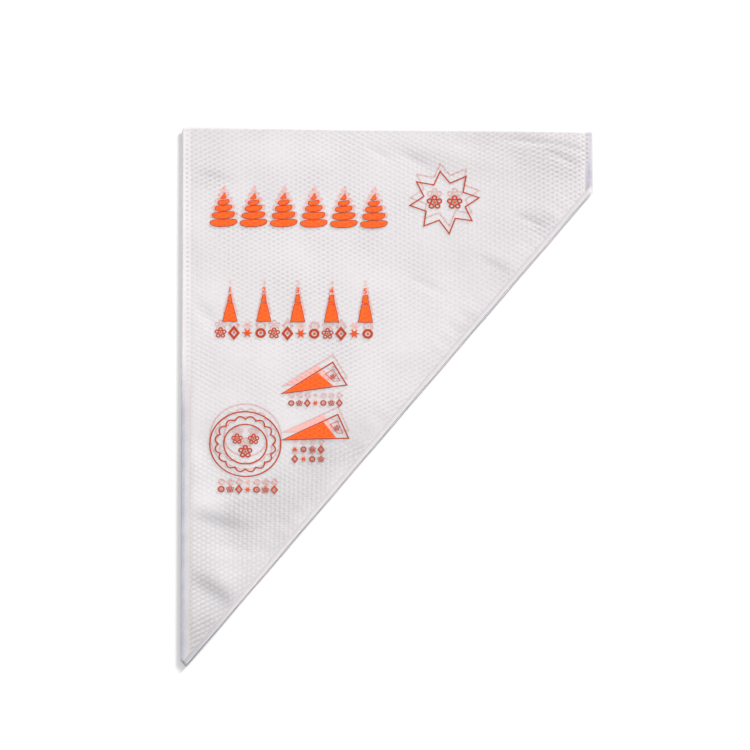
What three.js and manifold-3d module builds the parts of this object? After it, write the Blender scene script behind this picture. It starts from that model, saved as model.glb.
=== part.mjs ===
// A thin pile of disposable piping bags, lying flat as they come out of their packet.
//
// Each bag is a tube of embossed film laid flat. It is folded along its long side and along
// the short side opposite, welded and cut on the slant between the two, and open at its mouth.
// The top bag's front film is divided, so that the middle of its mouth can be lifted open.
//
// Millimetres. +X runs across the mouth from the long fold, +Y from the closed tip to the
// mouth, +Z up. The origin is under the middle of the pile, on the surface it lies on.

import * as THREE from 'three';
import { mergeVertices } from 'three/addons/utils/BufferGeometryUtils.js';
import Module from 'manifold-3d';

const wasm = await Module();
wasm.setup();

// One flat bag
const bagLength = 300;
const mouthWidth = 210;
const shortFoldLength = 34;
const tipFacet = { across: 2.6, up: 3.3 }; // the small cut across the closed tip
const foldReach = 4; // how far each creased fold reaches in from its side
const weldWidth = 2.4; // the smooth, pressed band along the slanting cut
const weldFlangeThickness = 0.2; // two films melted into one

// Film and the air around it
const filmThickness = 0.15; // over the embossed dimples
const layerGap = 0.1; // between the two films of a bag
const bagGap = 0.1; // between two bags
const seamGap = 0.3; // between neighbouring pieces of one bag, seen from above
const bagThickness = 2 * filmThickness + layerGap;

// The pile
const bagCount = 6;
const mostSlip = { across: 0.45, along: 0.5, turn: 0.0012 }; // how untidily it is stacked

// The lip: the middle of the top bag's front film, which lifts at the mouth
const lipFootAt = 24; // above the tip
const lipShare = 0.4; // of the film's width, at the lip's foot and at the mouth alike

const roundSegments = 6; // in each rolled edge
const cutMargin = 1; // how far a cutting block reaches past what it cuts

const colours = {
  film: { color: '#ece7e9', roughness: 0.42, metalness: 0 },
  fold: { color: '#cfd0d8', roughness: 0.3, metalness: 0 },
  weld: { color: '#b9b6ba', roughness: 0.28, metalness: 0 },
};

// The slanting weld runs from the tip to the lower end of the short fold.
const weldStart = new THREE.Vector2(tipFacet.across, 0);
const weldEnd = new THREE.Vector2(mouthWidth, bagLength - shortFoldLength);
const weldVector = weldEnd.clone().sub(weldStart);
const weldSlope = weldVector.y / weldVector.x;
const weldRise = Math.hypot(1, weldSlope); // height gained by one millimetre of inset
const panelInset = weldWidth + seamGap;

const panelLeft = foldReach + seamGap;
const panelRight = mouthWidth - foldReach - seamGap;

function weldY(x, inset) {
  return weldSlope * (x - weldStart.x) + inset * weldRise;
}

function weldX(y, inset) {
  return weldStart.x + (y - inset * weldRise) / weldSlope;
}

function facetY(x) {
  return tipFacet.up * (1 - x / tipFacet.across);
}

// Solids

function plate(outline, thickness = filmThickness) {
  const shape = new THREE.Shape(outline.map(([x, y]) => new THREE.Vector2(x, y)));
  return new THREE.ExtrudeGeometry(shape, { depth: thickness, bevelEnabled: false });
}

function toSolid(geometry) {
  const bare = geometry.clone();
  bare.deleteAttribute('normal');
  bare.deleteAttribute('uv');
  const merged = mergeVertices(bare);
  const vertProperties = Float32Array.from(merged.attributes.position.array);
  const triVerts = Uint32Array.from(merged.index.array);
  return new wasm.Manifold(new wasm.Mesh({ numProp: 3, vertProperties, triVerts }));
}

function fromSolid(solid) {
  const mesh = solid.getMesh();
  const geometry = new THREE.BufferGeometry();
  geometry.setAttribute('position', new THREE.BufferAttribute(mesh.vertProperties, 3));
  geometry.setIndex(new THREE.BufferAttribute(mesh.triVerts, 1));
  geometry.computeVertexNormals();
  return geometry;
}

// The part of a geometry that stands inside an upright block of the given plan
function keptInside(geometry, plan) {
  const block = plate(plan, bagThickness + 2 * cutMargin);
  block.translate(0, 0, -cutMargin);
  return fromSolid(toSolid(geometry).intersect(toSolid(block)));
}

// Pieces of one bag, standing on z = 0

function wholePanelOutline() {
  return [
    [panelLeft, weldY(panelLeft, panelInset)],
    [panelRight, weldY(panelRight, panelInset)],
    [panelRight, bagLength],
    [panelLeft, bagLength],
  ];
}

// A film turned back on itself: two flat legs joined by a half-round roll at x = 0
function foldSection() {
  const middle = bagThickness / 2;
  const outer = bagThickness / 2;
  const inner = layerGap / 2;
  const section = new THREE.Shape();
  section.moveTo(foldReach, bagThickness);
  section.absarc(outer, middle, outer, Math.PI / 2, (3 * Math.PI) / 2, false);
  section.lineTo(foldReach, 0);
  section.lineTo(foldReach, filmThickness);
  section.absarc(outer, middle, inner, (3 * Math.PI) / 2, Math.PI / 2, true);
  section.lineTo(foldReach, bagThickness - filmThickness);
  section.closePath();
  return section;
}

function foldGeometry(atShortSide) {
  const section = foldSection();
  const bar = new THREE.ExtrudeGeometry(section, {
    depth: bagLength,
    bevelEnabled: false,
    curveSegments: roundSegments,
  });
  bar.rotateX(Math.PI / 2);
  bar.translate(0, bagLength, 0);
  if (atShortSide) {
    bar.rotateY(Math.PI);
    bar.translate(mouthWidth, 0, bagThickness);
  }
  const cornerX = (tipFacet.up - weldY(0, panelInset)) / (weldSlope + tipFacet.up / tipFacet.across);
  const right = mouthWidth + cutMargin;
  return keptInside(bar, [
    [-cutMargin, facetY(-cutMargin)],
    [cornerX, facetY(cornerX)],
    [right, weldY(right, panelInset)],
    [right, bagLength + cutMargin],
    [-cutMargin, bagLength + cutMargin],
  ]);
}

// The pressed band with its melted bead, swept along the slanting cut
function weldGeometry() {
  const middle = bagThickness / 2;
  const beadRadius = bagThickness / 2;
  const halfFlange = weldFlangeThickness / 2;
  const leaving = Math.asin(halfFlange / beadRadius);
  const section = new THREE.Shape();
  section.moveTo(weldWidth, middle - halfFlange);
  section.lineTo(weldWidth, middle + halfFlange);
  section.absarc(beadRadius, middle, beadRadius, leaving, 2 * Math.PI - leaving, false);
  section.closePath();

  const overrun = 10; // past both ends, to be cut off square with the folds
  const bar = new THREE.ExtrudeGeometry(section, {
    depth: weldVector.length() + 2 * overrun,
    bevelEnabled: false,
    curveSegments: roundSegments,
  });
  const along = new THREE.Vector3(weldVector.x, weldVector.y, 0).normalize();
  const up = new THREE.Vector3(0, 0, 1);
  const inward = up.clone().cross(along);
  const placed = new THREE.Matrix4().makeBasis(inward, up, along);
  placed.setPosition(weldStart.x - overrun * along.x, weldStart.y - overrun * along.y, 0);
  bar.applyMatrix4(placed);

  const pastTip = 2 * tipFacet.across;
  return keptInside(bar, [
    [-cutMargin, facetY(-cutMargin)],
    [pastTip, facetY(pastTip)],
    [mouthWidth, facetY(pastTip)],
    [mouthWidth, bagLength],
    [-cutMargin, bagLength],
  ]);
}

// The lip's two edges, as x at its foot and at the mouth
function lipEdges() {
  const footRight = weldX(lipFootAt, panelInset);
  const edgeAt = (low, high, side) => (low + high) / 2 + (side * lipShare * (high - low)) / 2;
  return [-1, 1].map((side) => ({
    foot: edgeAt(panelLeft, footRight, side),
    mouth: edgeAt(panelLeft, panelRight, side),
  }));
}

// The top bag's front film in its four pieces
function dividedFrontOutlines() {
  const [left, right] = lipEdges();
  const tipTop = lipFootAt - seamGap;
  return {
    front_tip: [
      [panelLeft, weldY(panelLeft, panelInset)],
      [weldX(tipTop, panelInset), tipTop],
      [panelLeft, tipTop],
    ],
    front_left: [
      [panelLeft, lipFootAt],
      [left.foot - seamGap, lipFootAt],
      [left.mouth - seamGap, bagLength],
      [panelLeft, bagLength],
    ],
    mouth_lip: [
      [left.foot, lipFootAt],
      [right.foot, lipFootAt],
      [right.mouth, bagLength],
      [left.mouth, bagLength],
    ],
    front_right: [
      [right.foot + seamGap, lipFootAt],
      [weldX(lipFootAt, panelInset), lipFootAt],
      [panelRight, weldY(panelRight, panelInset)],
      [panelRight, bagLength],
      [right.mouth + seamGap, bagLength],
    ],
  };
}

function piece(name, geometry, { color, roughness, metalness }, z = 0) {
  const material = new THREE.MeshStandardMaterial({ color, roughness, metalness });
  const mesh = new THREE.Mesh(geometry, material);
  mesh.name = name;
  mesh.position.z = z;
  return mesh;
}

function bag(number, isTop) {
  const prefix = `bag_${number}_`;
  const frontHeight = filmThickness + layerGap;
  const frontOutlines = isTop ? dividedFrontOutlines() : { front_film: wholePanelOutline() };
  const made = new THREE.Group();
  made.add(
    piece(`${prefix}back_film`, plate(wholePanelOutline()), colours.film),
    piece(`${prefix}long_fold`, foldGeometry(false), colours.fold),
    piece(`${prefix}short_fold`, foldGeometry(true), colours.fold),
    piece(`${prefix}weld`, weldGeometry(), colours.weld),
  );
  for (const [name, outline] of Object.entries(frontOutlines)) {
    made.add(piece(prefix + name, plate(outline), colours.film, frontHeight));
  }
  return made;
}

// Bags never stack quite true. The top and bottom ones are the straight ones.
function slip(level) {
  const between = Math.sin((Math.PI * level) / (bagCount - 1));
  return {
    across: mostSlip.across * between * Math.sin(2.3 * level + 0.4),
    along: mostSlip.along * between * Math.cos(1.7 * level),
    turn: mostSlip.turn * between * Math.sin(3.1 * level + 1),
  };
}

const pile = new THREE.Group();
for (let level = 0; level < bagCount; level += 1) {
  const { across, along, turn } = slip(level);
  const made = bag(level + 1, level === bagCount - 1);
  made.position.set(across, along, level * (bagThickness + bagGap));
  made.rotation.z = turn;
  pile.add(made);
}
const middle = new THREE.Box3().setFromObject(pile, true).getCenter(new THREE.Vector3());
pile.position.set(-middle.x, -middle.y, 0);

export default pile;
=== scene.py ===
"""A thin pile of printed, disposable piping bags: the looks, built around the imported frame.

Each bag is made in its own flat millimetres: across from the long fold, along from the closed tip
to the mouth, and up. A Bag takes them to the place of its CAD solids.
"""

import math

import bmesh
import bpy
import numpy as np
from mathutils import Matrix, Vector
from mathutils.geometry import delaunay_2d_cdt


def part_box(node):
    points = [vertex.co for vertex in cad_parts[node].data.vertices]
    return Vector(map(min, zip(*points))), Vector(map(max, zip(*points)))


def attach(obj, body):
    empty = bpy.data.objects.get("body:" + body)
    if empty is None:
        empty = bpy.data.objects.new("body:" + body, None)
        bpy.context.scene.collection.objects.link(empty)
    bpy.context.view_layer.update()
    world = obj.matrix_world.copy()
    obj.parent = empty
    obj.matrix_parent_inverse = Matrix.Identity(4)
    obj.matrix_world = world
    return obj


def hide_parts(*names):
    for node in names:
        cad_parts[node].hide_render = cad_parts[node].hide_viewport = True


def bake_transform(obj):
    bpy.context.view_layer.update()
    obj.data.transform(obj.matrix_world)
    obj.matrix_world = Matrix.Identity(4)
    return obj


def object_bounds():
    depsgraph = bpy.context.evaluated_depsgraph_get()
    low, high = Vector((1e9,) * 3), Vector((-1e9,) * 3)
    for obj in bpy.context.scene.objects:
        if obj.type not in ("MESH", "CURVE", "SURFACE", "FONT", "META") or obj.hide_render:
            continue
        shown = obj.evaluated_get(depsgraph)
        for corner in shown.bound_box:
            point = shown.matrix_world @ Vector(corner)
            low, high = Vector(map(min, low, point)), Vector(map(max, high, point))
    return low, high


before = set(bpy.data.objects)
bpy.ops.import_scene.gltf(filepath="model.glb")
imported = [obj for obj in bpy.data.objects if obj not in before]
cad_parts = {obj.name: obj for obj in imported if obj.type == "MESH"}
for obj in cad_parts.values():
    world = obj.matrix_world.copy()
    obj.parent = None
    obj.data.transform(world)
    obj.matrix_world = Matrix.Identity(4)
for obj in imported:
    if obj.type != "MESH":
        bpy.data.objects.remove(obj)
cad_low, cad_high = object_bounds()

MM = 0.001
BAGS = sum(name.endswith("_back_film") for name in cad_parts)
TOP = BAGS

# The outline of one bag, in millimetres, from the top bag's solids
fold_low, fold_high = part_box(f"bag_{TOP}_long_fold")
weld_low, weld_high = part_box(f"bag_{TOP}_weld")
back_low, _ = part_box(f"bag_{TOP}_back_film")
LENGTH = (fold_high.y - weld_low.y) / MM
WIDTH = (weld_high.x - fold_low.x) / MM
FOLD = (fold_high.x - fold_low.x) / MM
PANEL_LEFT = (back_low.x - fold_low.x) / MM
# Driving dimensions that the boxes don't show: the short side, the tip's blunt end and the weld's width
SHORT_SIDE = 34.0
FACET_ACROSS, FACET_UP = 2.6, 3.3
WELD = 2.4
# The slanting cut: its rise, and its length, for each millimetre across
SLOPE = (LENGTH - SHORT_SIDE) / (WIDTH - FACET_ACROSS)
RISE = math.hypot(1, SLOPE)


def weld_along(across, inset):
    """How far along the bag the line inset from the slanting cut is."""
    return SLOPE * (across - FACET_ACROSS) + inset * RISE


def weld_distance(across, along):
    """How far in from the slanting cut a point is, square to it."""
    return (along - SLOPE * (across - FACET_ACROSS)) / RISE


# The film opens along a crest from the tip to the middle of the mouth.
APEX = np.array([FOLD, weld_along(FOLD, WELD)])
CREST_TOP = np.array([WIDTH / 2, LENGTH])
FAR_CORNER = np.array([WIDTH - FOLD, LENGTH])


def smooth(t):
    """An even step from 0 to 1, level at both ends."""
    t = np.clip(t, 0, 1)
    return t * t * (3 - 2 * t)


def fade(value, start, end):
    """0 at start, 1 at end, and smooth between them."""
    return smooth((value - start) / (end - start))


# ------------------------------------------------------------------ how the pile lies

# Soft creases: centre across, centre along, half length, half width, heading in degrees, height
CREASES = [
    (180, 293.5, 13, 1.6, -4, -0.7),
    (201, 290, 9, 1.5, -12, -0.5),
    (195, 284.5, 9, 1.8, -27, -0.6),
    (119, 283, 9, 3.0, -28, -0.5),
    (101, 286, 6, 2.4, -30, -0.35),
    (15, 272, 8, 2.6, -12, -0.45),
    (181.5, 247.5, 9, 1.8, -23, -0.7),
    (161, 222.5, 10, 2.6, -30, -0.45),
    (125, 212, 9, 2.4, -28, -0.35),
    (12, 194, 9, 4.0, -50, -0.6),
    (11, 118, 5.5, 9, -10, -0.8),
    (62, 108, 20, 6.0, 24, -0.6),
    (18, 79, 13, 4.4, -14, -1.2),
    (43, 66, 11, 4.2, 24, -0.3),
    (16.5, 39.5, 13, 4.6, -37, -1.4),
    (12, 18, 7, 3.0, -20, -0.4),
    (36, 92, 18, 3.0, 8, 0.4),
    (24, 59, 15, 4.5, -8, 0.5),
    (150, 283, 24, 6, -14, 0.45),
    (178, 299, 16, 3, -6, 0.35),
]
# Fine buckles that follow the dimples: as a crease, and then the distance from one to the next
RIPPLES = [
    (188, 284, 20, 9, -14, 0.16, 2.7),
    (182, 248, 9, 5, -23, 0.15, 2.4),
    (161, 222, 11, 5, -30, 0.11, 2.6),
    (120, 284, 12, 6, -28, 0.09, 2.5),
    (14, 271, 9, 5, -8, 0.1, 2.6),
    (60, 99, 20, 9, 40, 0.04, 2.7),
    (32, 83, 11, 6, -10, 0.04, 2.7),
    (150, 190, 14, 6, 38, 0.06, 2.6),
]
# Long, low waves in the stacked film: wavelength, heading in degrees, phase, height
WAVES = [
    (118, 20, 0.4, 0.2),
    (83, -35, 2.1, 0.18),
    (61, 64, 4.0, 0.15),
    (44, -12, 1.2, 0.1),
    (37, 95, 5.3, 0.07),
    (27, 40, 3.1, 0.045),
    (19, -60, 0.9, 0.025),
]
# Patches where the dimples are pressed deeper or shallower, as wavelength, heading and phase
PATCHES = [(67, 30, 0.3), (41, -50, 1.9), (29, 75, 4.4), (23, 10, 2.7)]
ROLL = 7.0  # how far in from a fold the air lifts the film
WELD_ROLL = 11.0


def crease(across, along, row):
    """The relief of one crease: a long soft hollow, or a swell where its height is above 0."""
    centre, height_at, half_length, half_width, heading, height = row[:6]
    c, s = math.cos(math.radians(heading)), math.sin(math.radians(heading))
    a = ((across - centre) * c + (along - height_at) * s) / half_length
    b = (-(across - centre) * s + (along - height_at) * c) / half_width
    return height * np.exp(-a * a - b * b)


def ripple(across, along, row):
    """Parallel buckles inside the patch of one crease."""
    centre, height_at, _, _, heading, _, period = row
    c, s = math.cos(math.radians(heading)), math.sin(math.radians(heading))
    square = -(across - centre) * s + (along - height_at) * c
    return crease(across, along, row) * np.cos(2 * math.pi * square / period)


def hollow(across, along):
    """1 in the bottom of the deepest creases: grey of films pressed together, and painted shade there."""
    return np.clip(sum(-crease(across, along, row) for row in CREASES if row[-1] < -1), 0, 1)


def disturbed(across, along):
    """1 where the film is buckled, so that its dimples stand out."""
    return np.clip(sum(crease(across, along, row) for row in RIPPLES) / 0.12, 0, 1)


def wave(across, along, row):
    """The relief of one row of straight, even waves."""
    length, heading, phase, height = row
    c, s = math.cos(math.radians(heading)), math.sin(math.radians(heading))
    return height * np.sin(2 * math.pi * (across * c + along * s) / length + phase)


def puckers(across, along):
    """Small gathers that run in from the weld, where the film shrank as it melted."""
    inward = weld_distance(across, along)
    beside = (across + along * SLOPE) / RISE
    ripple = np.sin(2 * math.pi * beside / 9.5 + 1.3 * np.sin(beside / 17)) * np.sin(beside / 23 + 0.7) ** 2
    return 0.22 * ripple * np.exp(-((inward - WELD) / 7.5) ** 2)


def relief(across, along):
    """How far the top of the pile stands above its flat height, from trapped air and creases."""
    held = smooth(across / ROLL) * smooth(weld_distance(across, along) / WELD_ROLL)
    held = held * smooth((WIDTH - across) / ROLL)
    lower_air = 0.35 * fade(along, 190, 120)
    corner_air = 0.2 * fade(across, 150, 205) * fade(along, 288, 275)
    air = 0.45 + lower_air + corner_air
    shape = air + sum(wave(across, along, row) for row in WAVES) + puckers(across, along)
    shape = shape + sum(crease(across, along, row) for row in CREASES)
    shape = shape + sum(ripple(across, along, row) for row in RIPPLES)
    mouth_curl = 0.25 * fade(along, LENGTH - 9, LENGTH) * (1 + np.sin(across / 19))
    return held * (shape + mouth_curl)


# Embossing: a honeycomb of dimples in columns along the bag, each wider than it is tall
COLUMN = 2.32
DIMPLE = 0.14
DOT_WAVES = ((1, 0, 0.64), (-0.5, math.sqrt(3) / 2, 1.18), (-0.5, -math.sqrt(3) / 2, 1.18))
DOT_FLOOR = 1.75  # the sum of these waves runs from about -1.75 to 3
DOT_SHARPNESS = 1.6


def rows_at(across, along):
    """Where a point is in the dimples' own rows, which the film's stretch has tilted and bent."""
    tilt = 3.4 * fade(across, 125, 190) * fade(along, 200, 260)
    drift = 0.9 * np.sin(across / 31 + along / 47) + 0.7 * np.sin(along / 38 - across / 60 + 1)
    return across + 0.5 * np.sin(along / 41 + 0.5), along - tilt + drift


def dot_pattern(across, along):
    """1 at the middle of each dimple and 0 between them."""
    k = 2 * math.pi / COLUMN
    x, y = rows_at(across, along)
    total = sum(share * np.cos(k * (a * x + b * y)) for a, b, share in DOT_WAVES)
    return np.clip((total + DOT_FLOOR) / (3 + DOT_FLOOR), 0, 1) ** DOT_SHARPNESS


def emboss_share(across, along):
    """How strongly the film is dimpled: patchily, most where it is buckled and in the lower right, and
    not at all on the weld, at the cut mouth and on the lower part of the folds."""
    past_weld = fade(weld_distance(across, along), WELD - 0.6, WELD + 0.6)
    share = past_weld * fade(along, LENGTH - 0.8, LENGTH - 2.0)
    share = share * fade(across, 0.6, 2.0) * fade(WIDTH - across, 0.6, 2.0)
    low_left = fade(along, 185, 145) * fade(across, 5.2, 3.6)
    low_right = fade(along, 285, 279) * fade(across, WIDTH - 4.8, WIDTH - 3.2)
    patches = sum(wave(across, along, (*row, 1)) for row in PATCHES)
    beside_weld = fade(weld_distance(across, along), 42, 16)
    patchy = 0.4 + 0.07 * patches + 0.2 * fade(across, 125, 165)
    patchy = patchy + 0.2 * beside_weld * glints(along)
    patchy = patchy * (1 + 0.25 * glints(along)) + disturbed(across, along)
    patchy = np.minimum(patchy, 1.3 - 0.5 * glints(along))
    return share * (1 - low_left) * (1 - low_right) * patchy


def fold_tint_and_shade(across, along):
    """1 on the folds' smooth rolls, grey-blue from the pile's layers, and painted shade where they curve."""
    left = fade(across, 4.4, 3.2) * fade(along, 176, 130) * (0.5 + 0.5 * fade(across, 1.9, 0.9))
    right = fade(across, WIDTH - 3.6, WIDTH - 2.6) * (0.45 + 0.55 * fade(along, 288, 272))
    right = right + 0.5 * fade(across, WIDTH - 1.3, WIDTH - 0.4)
    return np.clip(left + right, 0, 1)


def tip_shade_and_rim(along):
    """How much greyer the film is: painted shade towards the tip, and the cloudier cut edge at the mouth."""
    return 0.5 * fade(along, 44, 4) + 0.9 * rim(along)


def rim(along):
    """1 on the cut edge of a film at the mouth, which is cloudier than the film."""
    return fade(along, LENGTH - 0.9, LENGTH - 0.3)


def glints(along):
    """1 where the film lies so that light catches the dimples' middles, 0 where they look dark."""
    return 0.9 * fade(along, 150, 112)


def fold_line(across, along):
    """1 on the thin straight line where each folded side's smooth roll ends."""
    left = np.exp(-(((across - 3.95) / 0.35) ** 2)) * fade(along, 172, 135)
    return 0.8 * left + 0.6 * np.exp(-(((across - WIDTH + 2.4) / 0.3) ** 2))


class Bag:
    """The place and the levels of one bag's films, from its CAD solids."""

    def __init__(self, number):
        self.number = number
        self.name = f"bag_{number}"
        self.is_top = number == TOP
        self.body = "bottom_bag" if number == 1 else "top_bag" if self.is_top else self.name
        corners = [v.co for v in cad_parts[f"{self.name}_back_film"].data.vertices]
        low = min(corners, key=lambda c: c.y)
        mouth = min(corners, key=lambda c: c.x - c.y)
        self.along = Vector((mouth.x - low.x, mouth.y - low.y, 0)).normalized()
        self.across = Vector((self.along.y, -self.along.x, 0))
        corner = Vector((mouth.x, mouth.y, 0))
        self.origin = corner - self.along * (LENGTH * MM) - self.across * (PANEL_LEFT * MM)
        self.axes = np.array([self.across, self.along, (0, 0, 1)])
        self.back = self.middle_of("back_film")
        self.front = self.middle_of("front_left" if self.is_top else "front_film")
        self.middle = (self.front + self.back) / 2
        self.gap = (self.front - self.back) / 2

    def middle_of(self, node):
        low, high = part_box(f"{self.name}_{node}")
        return (low.z + high.z) / 2 / MM

    def place(self, across, along, up):
        """Points of the bag, in millimetres, as an array of points in the frame, in metres."""
        return np.array(self.origin) + np.stack([across, along, up], axis=-1) @ self.axes * MM

    def level(self, across, along, side):
        """The height of the front film (side 1), the back film (side -1) or the roll between them."""
        # The two films come together towards the weld.
        closing = 0.2 + 0.8 * fade(weld_distance(across, along), WELD, WELD + 3)
        share = (self.middle + side * self.gap) / TOP_HEIGHT
        return self.middle + side * self.gap * closing + relief(across, along) * share

    def surface(self, across, along, side=1):
        """The height of a film with its dimples, which only the top bag's front film has as geometry."""
        height = self.level(across, along, side)
        if self.is_top and side > 0:
            height = height - DIMPLE * dot_pattern(across, along) * emboss_share(across, along)
        return height


TOP_HEIGHT = sum(c.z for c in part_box(f"bag_{TOP}_front_left")) / 2 / MM
bags = [Bag(number) for number in range(1, BAGS + 1)]


# ------------------------------------------------------------------ mesh helpers


def new_object(name, mesh, material):
    """A smooth-shaded object in the scene."""
    mesh.materials.append(material)
    made = bpy.data.objects.new(name, mesh)
    bpy.context.scene.collection.objects.link(made)
    mesh.polygons.foreach_set("use_smooth", np.ones(len(mesh.polygons), bool))
    return made


def cut(mesh, point, outward):
    """Cuts a flat net along a line and drops what lies on its outward side."""
    work = bmesh.new()
    work.from_mesh(mesh)
    everything = [*work.verts, *work.edges, *work.faces]
    plane = {"plane_co": (*point, 0), "plane_no": (*outward, 0)}
    bmesh.ops.bisect_plane(work, geom=everything, dist=1e-5, clear_outer=True, **plane)
    work.to_mesh(mesh)
    work.free()


def away_from_half(half):
    """The direction that leads from the crest out of the half left (-1) or right (1) of it."""
    run = CREST_TOP - APEX
    return (-half * run[1], half * run[0])


def points_of(mesh):
    """A mesh's points as an array with a row for each."""
    flat = np.empty(len(mesh.vertices) * 3, np.float32)
    mesh.vertices.foreach_get("co", flat)
    return flat.reshape(-1, 3).astype(float)


def net(name, step, half=0):
    """A flat net over the film between the folds and the weld, or over one half of it."""
    columns = np.linspace(FOLD, WIDTH - FOLD, round((WIDTH - 2 * FOLD) / step) + 1)
    rows = np.linspace(0, LENGTH, round(LENGTH / step) + 1)
    across, along = np.meshgrid(columns, rows)
    corner = np.arange(across.size).reshape(across.shape)
    quads = np.stack([corner[:-1, :-1], corner[:-1, 1:], corner[1:, 1:], corner[1:, :-1]], axis=-1)
    kept = weld_distance(across[1:, :-1], along[1:, :-1]) > WELD
    if half:
        run = CREST_TOP - APEX
        right_of = (across - APEX[0]) * run[1] - (along - APEX[1]) * run[0]
        furthest = right_of[:-1, 1:] if half > 0 else -right_of[1:, :-1]
        kept &= furthest > 0
    used, quads = np.unique(quads[kept], return_inverse=True)
    flat = np.stack([across.ravel()[used], along.ravel()[used], np.zeros(len(used))], axis=1)
    mesh = bpy.data.meshes.new(name)
    mesh.from_pydata(flat.tolist(), [], quads.reshape(-1, 4).tolist())
    cut(mesh, (FACET_ACROSS, WELD * RISE), (SLOPE, -1))
    if half:
        cut(mesh, APEX, away_from_half(half))
    return mesh


def strip_mesh(name, table, closed=False):
    """A mesh over a table of points: rows along the strip, points across it."""
    rows, columns = table.shape[:2]
    index = np.arange(rows * columns).reshape(rows, columns)
    here = index if closed else index[:, :-1]
    following = np.roll(index, -1, axis=1) if closed else index[:, 1:]
    quads = np.stack([here[:-1], following[:-1], following[1:], here[1:]], axis=-1).reshape(-1, 4)
    faces = quads.tolist()
    if closed:
        faces += [index[0, ::-1].tolist(), index[-1].tolist()]
    mesh = bpy.data.meshes.new(name)
    mesh.from_pydata(table.reshape(-1, 3).tolist(), [], faces)
    return mesh


def set_attribute(mesh, name, values):
    """A number for each point of a mesh, for its material to read."""
    attribute = mesh.attributes.new(name, "FLOAT", "POINT")
    attribute.data.foreach_set("value", np.asarray(values, np.float32))


def set_map(mesh, name, x, y):
    """A UV map that holds flat millimetres over the bag's length, so that patterns stay on the film."""
    loops = np.empty(len(mesh.loops), np.int32)
    mesh.loops.foreach_get("vertex_index", loops)
    uv = np.stack([x, y], axis=1)[loops] / LENGTH
    mesh.uv_layers.new(name=name).data.foreach_set("uv", uv.astype(np.float32).ravel())


def lay(mesh, bag, across, along, up, layer=0):
    """Takes a flat mesh to its place in the pile, with what its material needs to know.

    A layer other than 0 has its rows of dimples turned and shifted a little.
    """
    mesh.vertices.foreach_set("co", bag.place(across, along, up).astype(np.float32).ravel())
    set_attribute(mesh, "emboss", emboss_share(across, along))
    set_attribute(mesh, "fold_tint_and_shade", fold_tint_and_shade(across, along))
    set_attribute(mesh, "hollow", hollow(across, along))
    set_attribute(mesh, "tip_shade_and_rim", tip_shade_and_rim(along))
    set_attribute(mesh, "fold_line", fold_line(across, along))
    set_attribute(mesh, "glints", glints(along))
    set_attribute(mesh, "rim", rim(along))
    set_map(mesh, "flat", across, along)
    x, y = rows_at(across, along)
    turn = 0.016 * math.sin(2.4 * layer)
    set_map(mesh, "rows", x + turn * y + 1.7 * layer, y - turn * x + 0.9 * layer)
    mesh.update()


def set_normals(mesh, bag, across, along):
    """Smooth normals from the film's own formula, so that halves that meet shade as one film."""
    step = 0.06
    lean_across = (bag.surface(across + step, along) - bag.surface(across - step, along)) / (2 * step)
    lean_along = (bag.surface(across, along + step) - bag.surface(across, along - step)) / (2 * step)
    normals = np.stack([-lean_across, -lean_along, np.ones(len(across))], axis=1) @ bag.axes
    normals /= np.linalg.norm(normals, axis=1, keepdims=True)
    mesh.normals_split_custom_set_from_vertices(normals.tolist())


# ------------------------------------------------------------------ materials


def colour(red, green, blue):
    """A display colour from 0 to 255 as the linear colour that a shader takes."""
    shares = [channel / 255 for channel in (red, green, blue)]
    linear = [c / 12.92 if c <= 0.04045 else ((c + 0.055) / 1.055) ** 2.4 for c in shares]
    return (*linear, 1.0)


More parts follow.
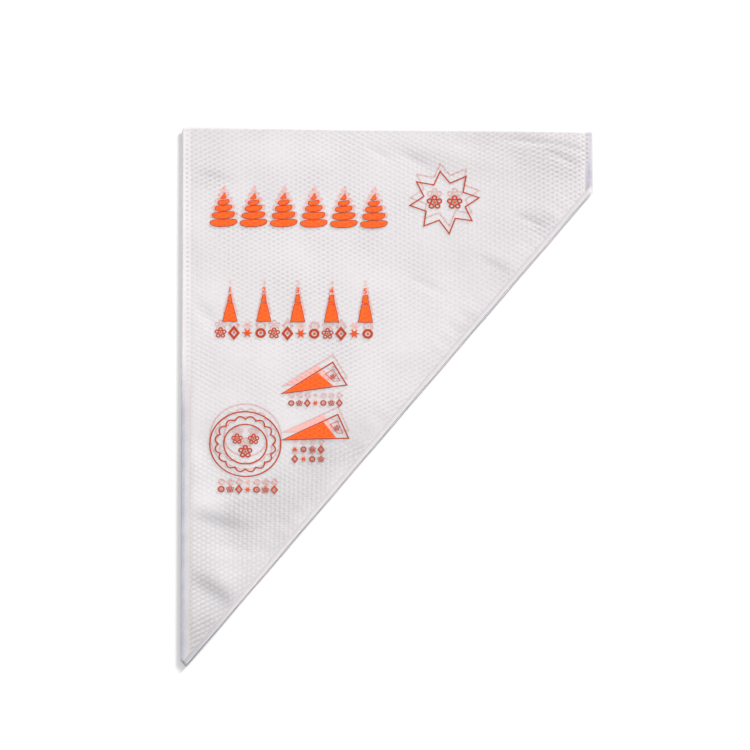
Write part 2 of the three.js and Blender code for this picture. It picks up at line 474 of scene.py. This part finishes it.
class Shader:
    """A small helper that adds nodes to one material and joins them."""

    def __init__(self, name):
        self.material = bpy.data.materials.new(name)
        self.material.use_nodes = True
        self.tree = self.material.node_tree
        self.surface = self.tree.nodes["Principled BSDF"]

    def put(self, socket, value):
        if isinstance(value, bpy.types.NodeSocket):
            self.tree.links.new(value, socket)
        else:
            socket.default_value = value

    def node(self, kind, *inputs, output=0, **settings):
        made = self.tree.nodes.new(kind)
        for key, value in settings.items():
            setattr(made, key, value)
        for index, value in enumerate(inputs):
            if value is not None:
                self.put(made.inputs[index], value)
        return made.outputs[output]

    def maths(self, operation, *inputs, clamp=False):
        return self.node("ShaderNodeMath", *inputs, operation=operation, use_clamp=clamp)

    def vector_maths(self, operation, *inputs, output=0):
        return self.node("ShaderNodeVectorMath", *inputs, operation=operation, output=output)

    def attribute(self, name):
        return self.node("ShaderNodeAttribute", attribute_name=name, output=2)

    def millimetres(self, map_name):
        uv = self.node("ShaderNodeUVMap", uv_map=map_name)
        return self.vector_maths("MULTIPLY", uv, (LENGTH, LENGTH, 0))

    def noise(self, where, size, detail=3.0, rough=0.5):
        scaled = self.vector_maths("MULTIPLY", where, (1 / size,) * 3)
        return self.node("ShaderNodeTexNoise", scaled, None, 1.0, detail, rough)

    def ramp(self, value, low, high, out_low=0.0, out_high=1.0):
        return self.node("ShaderNodeMapRange", value, low, high, out_low, out_high)

    def mix(self, share, first, second):
        made = self.tree.nodes.new("ShaderNodeMix")
        made.data_type = "RGBA"
        self.put(made.inputs[0], share)
        self.put(made.inputs[6], first)
        self.put(made.inputs[7], second)
        return made.outputs[2]

    def dots(self):
        """The same honeycomb as dot_pattern, as nodes."""
        k = 2 * math.pi / COLUMN
        where = self.millimetres("rows")
        total = DOT_FLOOR
        for x, y, share in DOT_WAVES:
            turned = self.vector_maths("DOT_PRODUCT", where, (k * x, k * y, 0), output=1)
            total = self.maths("MULTIPLY_ADD", self.maths("COSINE", turned), share, total)
        return self.maths("POWER", self.maths("DIVIDE", total, 3 + DOT_FLOOR, clamp=True), DOT_SHARPNESS)

    def bump(self, height_in_millimetres):
        made = self.tree.nodes.new("ShaderNodeBump")
        made.inputs["Strength"].default_value = 1.0
        made.inputs["Distance"].default_value = MM
        self.put(made.inputs["Height"], height_in_millimetres)
        self.put(self.surface.inputs["Normal"], made.outputs[0])


# The film: its two shades; painted highlight where light catches the dimples; the grey in or between
# the dimples, partly painted shade; the grey of pressed hollows, partly painted shade; the blue-grey
# of the rolled sides, partly painted shade; painted shade near the tip, and the cloudier cut mouth;
# painted shade on the weld near the tip; and the line beside a fold
MILKY = colour(248, 244, 245)
CLOUDY = colour(245, 240, 242)
WHITER = colour(255, 252, 253)
DIMPLED = colour(158, 150, 154)
PRESSED_AND_SHADED = colour(166, 168, 175)
ROLLED = colour(197, 195, 207)
NEAR_TIP = colour(216, 213, 218)
SEAM_TIP = colour(199, 197, 202)
FOLD_LINE = colour(226, 213, 202)


def film_material(name, alpha, dot_depth, rough=(0.28, 0.44)):
    """Milky embossed film, grey and clearer in its thinner dimples, the grey partly painted shade, or grey
    between them and whiter, as painted highlight, where light catches their middles; and grey where the
    layers are pressed together, partly as painted shade in the creases."""
    s = Shader(name)
    where = s.millimetres("flat")
    dots = s.maths("MULTIPLY", s.dots(), s.attribute("emboss"), clamp=True)
    clouds = s.noise(where, 30.0)
    fine = s.noise(where, 1.6, detail=5.0, rough=0.65)
    base = s.mix(s.ramp(clouds, 0.35, 0.7), MILKY, CLOUDY)
    # Painted highlight: whiter where light catches the dimples' middles
    base = s.mix(s.attribute("glints"), base, WHITER)
    # Painted shade towards the tip; the cut mouth's edge is cloudier
    base = s.mix(s.maths("MULTIPLY", s.attribute("tip_shade_and_rim"), 0.8), base, NEAR_TIP)
    # Grey in the deepest creases: pressed films, and partly painted shade
    base = s.mix(s.maths("MULTIPLY", s.attribute("hollow"), 0.3), base, PRESSED_AND_SHADED)
    # Blue-grey on the folds' rolls: the pile's tint, and partly painted shade
    rolled = s.maths("MULTIPLY", s.attribute("fold_tint_and_shade"), s.ramp(s.noise(where, 9.0), 0.3, 0.7, 0.7, 1.0))
    base = s.mix(rolled, base, ROLLED)
    base = s.mix(s.attribute("fold_line"), base, FOLD_LINE)
    # Dimple grey: painted shade in the dimples, or between them where the painted highlight is
    wider_dots = s.maths("SQRT", s.maths("MULTIPLY", dots, s.attribute("emboss")))
    between = s.maths("SUBTRACT", s.attribute("emboss"), wider_dots)
    dark = s.node("ShaderNodeMix", s.attribute("glints"), None, dots, between)
    base = s.mix(s.maths("MULTIPLY", dark, 0.38), base, DIMPLED)
    s.put(s.surface.inputs["Base Color"], base)
    s.put(s.surface.inputs["Roughness"], s.ramp(fine, 0.3, 0.8, *rough))
    clearest = s.ramp(dark, 0.0, 0.6)
    clear = s.maths("MULTIPLY_ADD", clearest, -0.45 * alpha, alpha)
    clear = s.maths("MULTIPLY_ADD", s.ramp(fine, 0.3, 0.75), 0.06, clear)
    s.put(s.surface.inputs["Alpha"], s.maths("MULTIPLY_ADD", s.attribute("rim"), 0.55, clear, clamp=True))
    s.surface.inputs["IOR"].default_value = 1.5
    s.bump(s.maths("MULTIPLY_ADD", dots, -dot_depth, s.maths("MULTIPLY", fine, 0.03)))
    return s.material


def seam_material():
    """Film melted smooth in the weld, with the uneven grey line of its cut edge, partly painted shade of
    the bead's outer side, and greyer near the tip as painted shade.
    """
    s = Shader("melted_weld")
    where = s.millimetres("flat")
    inward = s.attribute("from_cut")
    streaks = s.noise(where, 3.1, detail=4.0)
    # A little darker at the cut: partly painted shade of the bead's outer side
    base = s.mix(s.ramp(inward, 0.05, 0.6), colour(228, 224, 226), colour(234, 230, 233))
    base = s.mix(s.ramp(streaks, 0.42, 0.7, 0.0, 0.35), base, colour(222, 218, 221))
    # Painted shade towards the tip
    base = s.mix(s.maths("MULTIPLY", s.attribute("tip_shade_and_rim"), 1.4, clamp=True), base, SEAM_TIP)
    s.put(s.surface.inputs["Base Color"], base)
    s.put(s.surface.inputs["Roughness"], s.ramp(streaks, 0.3, 0.7, 0.4, 0.6))
    s.put(s.surface.inputs["Alpha"], s.ramp(inward, 0.1, 0.9, 0.8, 0.4))
    s.surface.inputs["Specular IOR Level"].default_value = 0.25
    s.bump(s.maths("MULTIPLY", streaks, 0.04))
    return s.material


def ink_material(name, paler):
    """Orange ink: uneven, darker in the dimples and along the edges of each shape."""
    s = Shader(name)
    grain = s.noise(s.millimetres("flat"), 0.9, detail=4.0, rough=0.6)
    base = s.mix(s.ramp(grain, 0.35, 0.7), colour(241, 82 + paler, 2), colour(246, 106 + paler, 18))
    base = s.mix(s.maths("MULTIPLY", s.dots(), 0.6), base, colour(222, 58 + paler, 4))
    base = s.mix(s.maths("MULTIPLY", s.attribute("outline"), 0.85), base, colour(158, 42 + paler, 0))
    s.put(s.surface.inputs["Base Color"], base)
    s.put(s.surface.inputs["Roughness"], s.ramp(grain, 0.3, 0.7, 0.45, 0.6))
    s.put(s.surface.inputs["Alpha"], s.ramp(grain, 0.25, 0.5, 0.86, 0.98))
    s.surface.inputs["Specular IOR Level"].default_value = 0.3
    return s.material


# The top bag's films are the clearer ones, so that the print of the bag below shows through them.
FILM_ALPHA = 0.42
TOP_FRONT_ALPHA, TOP_BACK_ALPHA = 0.34, 0.12
front_material = film_material("embossed_film", TOP_FRONT_ALPHA, 0.0)
back_material = film_material("embossed_film_back", TOP_BACK_ALPHA, 0.1)
below_material = film_material("embossed_film_below", FILM_ALPHA, 0.1)
crease_material = film_material("creased_film", FILM_ALPHA, 0.08, rough=(0.2, 0.34))
weld_material = seam_material()
orange = ink_material("orange_ink", 0)
orange_below = ink_material("orange_ink_below", 4)


# ------------------------------------------------------------------ films, folds and welds

# The nets' steps: the top film's is fine enough to hold the dimples as geometry
TOP_STEP = 0.5
FILM_STEP = 1.2


def film(bag, name, side, step, material, half=0):
    """One film between the folds and the weld; a half is the part left or right of the crest."""
    mesh = net(name, step, half)
    across, along = points_of(mesh)[:, :2].T
    flat_area = sum(face.area for face in mesh.polygons)
    layer = 2 * (TOP - bag.number) + (1 - side) // 2
    lay(mesh, bag, across, along, bag.surface(across, along, side), layer)
    if bag.is_top and side > 0:
        set_normals(mesh, bag, across, along)
    made = new_object(name, mesh, material)
    return made, (float(np.ptp(across)) * MM, float(np.ptp(along)) * MM), flat_area * MM * MM


def add_whole_film(bag, side):
    """A film in one piece: side 1 is the front film and side -1 the back one."""
    word = "front" if side > 0 else "back"
    material = back_material if bag.is_top else below_material
    made, size, area = film(bag, f"{bag.name}_{word}_sheet", side, FILM_STEP, material)
    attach(made, bag.body)
    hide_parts(f"{bag.name}_{word}_film")


def bend_open(made, bag, half):
    """Bakes a half of the front film's place into its mesh. It works out where the lip would run, from
    the fold or the far side to the top of the crest, but bends nothing."""
    if half < 0:
        start = np.array([FOLD, LENGTH])
    else:
        run = (FAR_CORNER - APEX) / np.linalg.norm(FAR_CORNER - APEX)
        crest = CREST_TOP - APEX
        start = APEX + run * (crest @ run)
    ends = [bag.place(p[0], p[1], TOP_HEIGHT).tolist() for p in (start, CREST_TOP)]
    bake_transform(made)


def add_opening_film(bag):
    """The top bag's front film, in two halves that meet along the crest."""
    halves = {"left": (-1, ("front_left", "front_tip", "mouth_lip")), "right": (1, ("front_right",))}
    for word, (half, nodes) in halves.items():
        made, size, area = film(bag, f"{bag.name}_front_sheet_{word}", 1, TOP_STEP, front_material, half)
        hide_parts(*[f"{bag.name}_{node}" for node in nodes])
        bend_open(made, bag, half)


def add_crease(bag, which):
    """A folded side: a front leg, a half-round roll and a back leg, cut off at the weld."""
    name = f"{bag.name}_{which}_crease"
    leg = np.linspace(FOLD, 0.9, 7)
    turn = np.linspace(0, math.pi, 9)[1:-1]
    reach = np.concatenate([leg, bag.gap * (1 - np.sin(turn)), leg[::-1]])
    side = np.concatenate([np.ones(len(leg)), np.cos(turn), -np.ones(len(leg))])
    across = reach if which == "long" else WIDTH - reach
    foot = weld_along(across, WELD)
    if which == "long":
        foot = np.maximum(foot, FACET_UP * (1 - across / FACET_ACROSS))
    share = np.linspace(0, 1, round((LENGTH - foot.min()) / 1.5))[:, None]
    along = foot + (LENGTH - foot) * share
    across = np.broadcast_to(across, along.shape)
    up = bag.level(across, along, side)
    mesh = strip_mesh(name, np.stack([across, along, up], axis=-1))
    lay(mesh, bag, across.ravel(), along.ravel(), up.ravel())
    made = new_object(name, mesh, crease_material)
    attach(made, bag.body)
    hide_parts(f"{bag.name}_{which}_fold")


# How far in from the cut, square to it, the facet's upper corner is
FACET_INWARD = float(weld_distance(0.0, FACET_UP))
FLANGE = 0.05  # half the thickness of the pressed band


def add_seam(bag):
    """The pressed band along the slant and the uneven bead of its cut edge, closed round the tip."""
    name = f"{bag.name}_seam"
    bead = bag.gap
    turn = np.linspace(math.radians(25), math.radians(335), 11)
    # The section, as distance in from the cut and height over the weld's middle
    section = [(WELD, -FLANGE), (WELD, FLANGE), (1.5, FLANGE * 1.2)]
    section += [(bead * (1 + math.cos(t)), 0.7 * bead * math.sin(t)) for t in turn]
    section += [(1.5, -FLANGE * 1.2)]
    inward, upward = np.array(section).T
    start = np.array([FACET_ACROSS, 0.0])
    end = np.array([WIDTH, LENGTH - SHORT_SIDE])
    run = (end - start) / np.linalg.norm(end - start)
    facet = np.array([0, FACET_UP]) - start
    first = start + np.outer(inward, facet) / FACET_INWARD
    last = end + np.outer(inward, (0, RISE))
    share = np.linspace(0, 1, round(np.linalg.norm(end - start) / 0.9))[:, None, None]
    course = first + (last - first) * share
    beside = course @ run
    seed = bag.number * 1.7
    wobble = 0.05 * np.sin(beside / 2.9 + seed) + 0.06 * np.sin(beside / 7.3 + 2 * seed) + 0.11
    swell = 1 + 0.16 * np.sin(beside / 4.1 + seed) + 0.12 * np.sin(beside / 11.7 + seed)
    at_cut = fade(inward, 1.3, 0.2)
    course = course + (wobble * at_cut)[..., None] * np.array([-run[1], run[0]])
    across, along = course[..., 0], course[..., 1]
    sway = 0.1 * np.sin(beside / 13.0 + 0.6) * at_cut + relief(across, along)
    up = bag.middle + sway * bag.middle / TOP_HEIGHT + upward * swell
    up = np.maximum(up, 0.01)
    mesh = strip_mesh(name, np.stack([across, along, up], axis=-1), closed=True)
    set_attribute(mesh, "from_cut", np.broadcast_to(inward, along.shape).ravel())
    lay(mesh, bag, across.ravel(), along.ravel(), up.ravel())
    made = new_object(name, mesh, weld_material)
    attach(made, bag.body)
    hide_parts(f"{bag.name}_weld")


for bag in bags:
    add_whole_film(bag, -1)
    if bag.is_top:
        add_opening_film(bag)
    else:
        add_whole_film(bag, 1)
    for which in ("long", "short"):
        add_crease(bag, which)
    add_seam(bag)


# ------------------------------------------------------------------ the print

# The width of a drawn line, and the step of the ink's own net, which follows the dimples
LINE = 0.7
INK_STEP = 0.5


def below(down):
    """A distance below the mouth, as along the bag."""
    return LENGTH - down


def ring(centre, radius, count):
    """A circle as a loop of points."""
    angles = np.arange(count) * 2 * math.pi / count
    return np.stack([centre[0] + radius * np.cos(angles), centre[1] + radius * np.sin(angles)], axis=1)


def area_of(loop):
    """The area that a loop of points encloses."""
    x, y = np.array(loop).T
    return abs(x @ np.roll(y, -1) - y @ np.roll(x, -1)) / 2


def edges_of_line(outline, width):
    """The outer and the inner edge of a closed line drawn along an outline, with its corners kept."""
    points = np.array(outline, float)
    before, after = points - np.roll(points, 1, axis=0), np.roll(points, -1, axis=0) - points
    before /= np.linalg.norm(before, axis=1, keepdims=True)
    after /= np.linalg.norm(after, axis=1, keepdims=True)
    square = np.stack([before[:, 1] + after[:, 1], -before[:, 0] - after[:, 0]], axis=1)
    length = np.linalg.norm(square, axis=1, keepdims=True)
    offset = square / length * np.minimum(2 / length, 2.6) * width / 2
    return sorted([points + offset, points - offset], key=area_of, reverse=True)


def line(outline, width=LINE):
    """A drawn line, as one shape: its loops, and 1 because it is an outline."""
    return [(edges_of_line(outline, width), 1.0)]


def solid(outline, width=0.4):
    """A filled shape and the darker line round it."""
    edges = edges_of_line(outline, width)
    return [(edges, 1.0), ([edges[1]], 0.0)]


def blob(centre, half_width, half_height, slant=0.0, sag=0.0):
    """A plump rounded band that slants and sags, like one turn of piped cream."""
    angle = np.arange(40) * 2 * math.pi / 40
    c, s = np.cos(angle), np.sin(angle)
    x = half_width * np.sign(c) * np.abs(c) ** 0.7
    y = half_height * np.sign(s) * np.abs(s) ** 0.8
    y = y + slant * x / half_width - sag * (1 - (x / half_width) ** 2)
    return np.stack([centre[0] + x, centre[1] + y], axis=1)


def swirl(centre, foot, half_width, height):
    """A piped swirl: turns that narrow upwards, and a peak that curls over."""
    shapes = []
    turns = [(0.12, 1.0, 0.105), (0.35, 0.83, 0.1), (0.56, 0.62, 0.085), (0.735, 0.41, 0.07)]
    for level, wide, thick in turns:
        middle = (centre, foot + level * height)
        shapes += solid(blob(middle, wide * half_width, thick * height, 0.025 * height, 0.03 * height))
    peak = [(-0.24, 0.83), (-0.05, 0.81), (0.15, 0.835), (0.2, 0.87), (0.13, 0.93), (0.1, 1.0), (-0.02, 0.94)]
    shapes += solid([(centre + x * half_width, foot + y * height) for x, y in peak], 0.3)
    return shapes


def from_centre(centre, reach, angle):
    """The point at a distance and in a direction from a centre."""
    return centre[0] + reach * math.cos(angle), centre[1] + reach * math.sin(angle)


def rosette(centre, radius, petals=5):
    """A small flower of round petals about a dot."""
    shapes = [([ring(centre, 0.2 * radius, 12)], 0.5)]
    for angle in math.pi / 2 + np.arange(petals) * 2 * math.pi / petals:
        middle = from_centre(centre, 0.62 * radius, angle)
        shapes += line(ring(middle, 0.27 * radius, 16), 0.2 * radius)
    return shapes


def sprinkle(centre, size, kind):
    """One small mark of a row: a flower, a ring, a star of strokes or a lozenge."""
    x, y = centre
    if kind == 0:
        return rosette(centre, 1.05 * size)
    if kind == 1:
        return line(ring(centre, 0.68 * size, 20), 0.42 * size) + [([ring(centre, 0.24 * size, 10)], 0.5)]
    if kind == 2:
        turns = np.arange(12) * math.pi / 6
        reach = np.where(np.arange(12) % 2 == 0, 1.0, 0.4) * size
        return [([np.stack([x + reach * np.cos(turns), y + reach * np.sin(turns)], axis=1)], 0.5)]
    lozenge = [(x - 0.75 * size, y), (x, y - size), (x + 0.75 * size, y), (x, y + size)]
    return line(lozenge, 0.42 * size) + [([ring(centre, 0.2 * size, 10)], 0.5)]


def sprinkle_row(left, right, down, height, count, first=0):
    """A row of small ornaments, where the real print has a line of writing."""
    pitch = (right - left) / count
    size = min(height / 2, 0.45 * pitch)
    places = [(left + pitch * (index + 0.5), below(down)) for index in range(count)]
    return [shape for i, place in enumerate(places) for shape in sprinkle(place, size, (first + 3 * i) % 4)]


def star_badge():
    """The badge: an eight-pointed, slightly uneven star about two flowers."""
    centre = (134.5, below(40.6))
    outline = []
    for point in range(8):
        angle = math.radians(7.3 + 45 * point)
        wander = 0.5 * math.sin(2.3 * point)
        for radius, turn in ((17.9 + wander, 0.0), (11.0, math.radians(22.5))):
            outline.append(from_centre(centre, radius, angle + turn))
    left, right = [(centre[0] + x, centre[1] - 0.4) for x in (-5.2, 5.2)]
    return line(outline) + rosette(left, 4.2) + rosette(right, 4.2)


# Where the first of the five cones stands across the bag, and how far it is to the next
FIRST_CONE = 24.2
CONE_PITCH = 17.36


def nozzle_cones():
    """Five cones cut at the five trimming sizes, each with the slit that marks its cut."""
    shapes = []
    for index in range(5):
        x = FIRST_CONE + CONE_PITCH * index
        tip, slit, foot = below(94.0), below(99.3), below(109.2)
        at_tip, at_slit = 0.35 + 0.2 * index, 1.35 + 0.12 * index
        shapes += solid([(x - 3.7, foot), (x + 3.7, foot), (x + at_slit, slit), (x - at_slit, slit)])
        cap_foot = [(x - at_slit + 0.2, slit + 0.9), (x + at_slit - 0.2, slit + 0.5)]
        shapes += solid([*cap_foot, (x + at_tip, tip), (x - at_tip, tip - 0.5)])
    return shapes


def small_bag(tip, upper, lower, fill_upper, fill_lower):
    """A little bag on its side, filled up to a slanting line."""
    corners = [(x, below(down)) for x, down in (tip, lower, upper)]
    fill = [(x, below(down)) for x, down in (tip, fill_lower, fill_upper)]
    band = np.array([(x, below(down)) for x, down in (fill_upper, fill_lower, lower, upper)])
    middle = band.mean(axis=0)
    shapes = line(corners) + [([shrunk(fill, 0.45)], 0.0)]
    return shapes + line(middle + (band - middle) * 0.5, 0.3) + rosette(middle, 1.6)


def shrunk(outline, by):
    """An outline moved inwards."""
    return edges_of_line(outline, 2 * by)[1]


def cake_emblem():
    """The round emblem: a ring, a ring of scallops and a ring about three flowers."""
    centre = np.array((32.2, below(177.9)))
    angle = np.arange(160) * 2 * math.pi / 160
    radius = 13.9 + 1.7 * np.abs(np.sin(angle * 8))
    scallops = centre + np.stack([radius * np.cos(angle), radius * np.sin(angle)], axis=1)
    shapes = line(ring(centre, 18.1, 90)) + line(scallops) + line(ring(centre, 11.0, 72))
    for x, y, size in ((-4.2, 2.8, 3.1), (4.2, 2.8, 3.1), (0, -4.2, 3.8)):
        shapes += rosette(centre + (x, y), size)
    return shapes


def boundary_loops(mesh):
    """The outlines of a flat mesh, each as a loop of points."""
    work = bmesh.new()
    work.from_mesh(mesh)
    bmesh.ops.remove_doubles(work, verts=work.verts, dist=1e-5)
    left = {edge for edge in work.edges if edge.is_boundary}
    loops = []
    while left:
        edge = min(left, key=lambda e: e.index)
        left.discard(edge)
        start, at = edge.verts
        points = [tuple(start.co.xy)]
        while at is not start:
            points.append(tuple(at.co.xy))
            edge = next(e for e in at.link_edges if e in left)
            left.discard(edge)
            at = edge.other_vert(at)
        loops.append(np.array(points))
    work.free()
    return loops


def digits():
    """The numbers of the five trimming sizes, from Blender's own plain font."""
    shapes = []
    for index in range(5):
        text = bpy.data.curves.new("digit", "FONT")
        text.body = str(index + 1)
        text.size = 4.2
        text.align_x = "CENTER"
        text.offset = 0.05
        text.resolution_u = 3
        holder = bpy.data.objects.new("digit", text)
        mesh = bpy.data.meshes.new_from_object(holder)
        shift = np.array([FIRST_CONE + CONE_PITCH * index, below(93.1)])
        shapes.append(([loop + shift for loop in boundary_loops(mesh)], 0.5))
        bpy.data.objects.remove(holder)
        bpy.data.curves.remove(text)
        bpy.data.meshes.remove(mesh)
    return shapes


def print_shapes():
    """Everything that is printed on one bag."""
    shapes = []
    for index in range(6):
        shapes += swirl(20.8 + 15.46 * index, below(55.7), 6.9, 18.9)
    shapes += star_badge() + nozzle_cones() + digits() + cake_emblem()
    shapes += sprinkle_row(16.0, 98.2, 115.7, 6.4, 12)
    shapes += small_bag((50.8, 149.5), (76.8, 131.8), (84.0, 144.6), (69.1, 137.1), (78.1, 145.4))
    shapes += sprinkle_row(53.6, 82.2, 154.8, 3.6, 7, 1)
    shapes += small_bag((50.9, 175.4), (79.4, 161.3), (84.8, 174.4), (72.1, 164.9), (79.4, 174.5))
    shapes += sprinkle_row(55.2, 73.0, 180.6, 3.6, 4, 2)
    shapes += sprinkle_row(55.2, 73.0, 185.9, 3.6, 4, 3)
    shapes += sprinkle_row(17.7, 49.2, 203.3, 4.4, 7, 1)
    return shapes


def divided(loop, step):
    """A loop with points no further apart than a step."""
    points = []
    for start, end in zip(loop, np.roll(loop, -1, axis=0)):
        count = max(1, math.ceil(np.linalg.norm(end - start) / step))
        points += [start + (end - start) * i / count for i in range(count)]
    return points


def inside(points, loops):
    """Which points lie inside an odd number of the loops."""
    x, y = points[:, :1], points[:, 1:]
    crossings = np.zeros(len(points), int)
    for loop in loops:
        x1, y1 = np.array(loop).T
        x2, y2 = np.roll(x1, -1), np.roll(y1, -1)
        spans = (y1 > y) != (y2 > y)
        rise = np.where(y2 == y1, 1, y2 - y1)
        crossings += (spans & (x < x1 + (y - y1) * (x2 - x1) / rise)).sum(axis=1)
    return crossings % 2 == 1


def fine_triangles(loops):
    """Triangles that fill the loops, even-odd, and are small enough to follow the film."""
    points, edges = [], []
    for loop in loops:
        ring_points = divided(np.array(loop), INK_STEP)
        first, count = len(points), len(ring_points)
        points += ring_points
        edges += [(first + i, first + (i + 1) % count) for i in range(count)]
    low, high = np.min(points, axis=0), np.max(points, axis=0)
    grid = np.meshgrid(np.arange(low[0], high[0], INK_STEP)[1:], np.arange(low[1], high[1], INK_STEP)[1:])
    points += list(np.stack(grid, axis=-1).reshape(-1, 2))
    flat, _, faces, *_ = delaunay_2d_cdt([Vector(p) for p in points], edges, [], 0, 1e-5, False)
    flat, faces = np.array(flat), np.array(faces)
    used, faces = np.unique(faces[inside(flat[faces].mean(axis=1), loops)], return_inverse=True)
    return flat[used].tolist(), faces.reshape(-1, 3).tolist()


def print_net():
    """The whole print as one flat mesh, and for each of its points whether it is in an outline."""
    points, faces, outline = [], [], []
    for loops, is_outline in print_shapes():
        new_points, new_faces = fine_triangles(loops)
        faces += [[len(points) + i for i in face] for face in new_faces]
        points += [(x, y, 0) for x, y in new_points]
        outline += [is_outline] * len(new_points)
    mesh = bpy.data.meshes.new("print_net")
    mesh.from_pydata(points, [], faces)
    set_attribute(mesh, "outline", outline)
    return mesh


# How far each bag's print sits to the right and towards its mouth, from the lowest bag to the top one
PRINT_SHIFTS = [(0.6, 3.0), (-0.7, 1.2), (0.8, 5.6), (-1.0, 2.6), (0.3, 4.2), (0, 0)]


def add_print(bag, flat_print, half=0):
    """One bag's print, laid on its front film; the top bag's is in two halves, as its film is."""
    name = f"{bag.name}_print" + {0: "", -1: "_left", 1: "_right"}[half]
    mesh = flat_print.copy()
    mesh.name = name
    points = points_of(mesh)
    points[:, :2] += PRINT_SHIFTS[bag.number - 1]
    mesh.vertices.foreach_set("co", points.astype(np.float32).ravel())
    if half:
        cut(mesh, APEX, away_from_half(half))
    across, along = points_of(mesh)[:, :2].T
    lift = 0.1 if bag.is_top else 0.05
    lay(mesh, bag, across, along, bag.surface(across, along) + lift)
    set_normals(mesh, bag, across, along)
    made = new_object(name, mesh, orange if bag.is_top else orange_below)
    if half:
        bend_open(made, bag, half)
    else:
        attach(made, bag.body)


flat_print = print_net()
for bag in bags:
    for half in ((-1, 1) if bag.is_top else (0,)):
        add_print(bag, flat_print, half)
bpy.data.meshes.remove(flat_print)


# ------------------------------------------------------------------ floor, light and camera


def floor():
    """A plain pale table."""
    reach = 24.0
    mesh = bpy.data.meshes.new("floor")
    corners = [(x * reach, y * reach, 0) for x, y in ((-1, -1), (1, -1), (1, 1), (-1, 1))]
    mesh.from_pydata(corners, [], [(0, 1, 2, 3)])
    s = Shader("white_floor")
    s.surface.inputs["Base Color"].default_value = colour(228, 228, 228)
    s.surface.inputs["Roughness"].default_value = 0.9
    s.surface.inputs["Specular IOR Level"].default_value = 0.1
    new_object("floor", mesh, s.material)


# Softboxes that face the pile: place and side in metres, and power in watts
SOFTBOXES = {"key": ((3.8, 5.0, 3.6), 1.8, 588), "fill": ((-1.0, -1.0, 3.2), 1.4, 49)}
ROOM_LIGHT = 0.472


def area_light(name, place, size, power):
    light = bpy.data.lights.new(name, "AREA")
    light.shape = "SQUARE"
    light.size = size
    light.energy = power
    made = bpy.data.objects.new(name, light)
    made.location = place
    made.rotation_euler = (-Vector(place)).to_track_quat("-Z", "Y").to_euler()
    bpy.context.scene.collection.objects.link(made)


def studio():
    """Even light from all round, and the softboxes."""
    world = bpy.data.worlds.new("studio")
    bpy.context.scene.world = world
    world.use_nodes = True
    world.node_tree.nodes["Background"].inputs["Color"].default_value = (1, 1, 1, 1)
    world.node_tree.nodes["Background"].inputs["Strength"].default_value = ROOM_LIGHT
    for name, softbox in SOFTBOXES.items():
        area_light(name, *softbox)
    view = bpy.context.scene.view_settings
    view.view_transform = "Standard"
    view.look = "None"


def camera():
    """A long lens high over the tip, a little to the left of it and turned by a few degrees."""
    azimuth, elevation, roll = (math.radians(angle) for angle in (-4.03, 66.0, 4.26))
    distance = 7.0
    seen_width = 0.3836
    aim = Vector((-0.00645, 0.01224, (cad_low.z + cad_high.z) / 2))
    flat = math.cos(elevation)
    back = Vector((math.sin(azimuth) * flat, -math.cos(azimuth) * flat, math.sin(elevation)))
    data = bpy.data.cameras.new("camera")
    data.sensor_width = 36
    data.lens = data.sensor_width * distance / seen_width
    data.clip_end = 50
    made = bpy.data.objects.new("camera", data)
    looking = (-back).to_track_quat("-Z", "Y").to_matrix().to_4x4()
    made.matrix_world = Matrix.Translation(aim + back * distance) @ looking @ Matrix.Rotation(roll, 4, "Z")
    bpy.context.scene.collection.objects.link(made)
    bpy.context.scene.camera = made


floor()
studio()
camera()
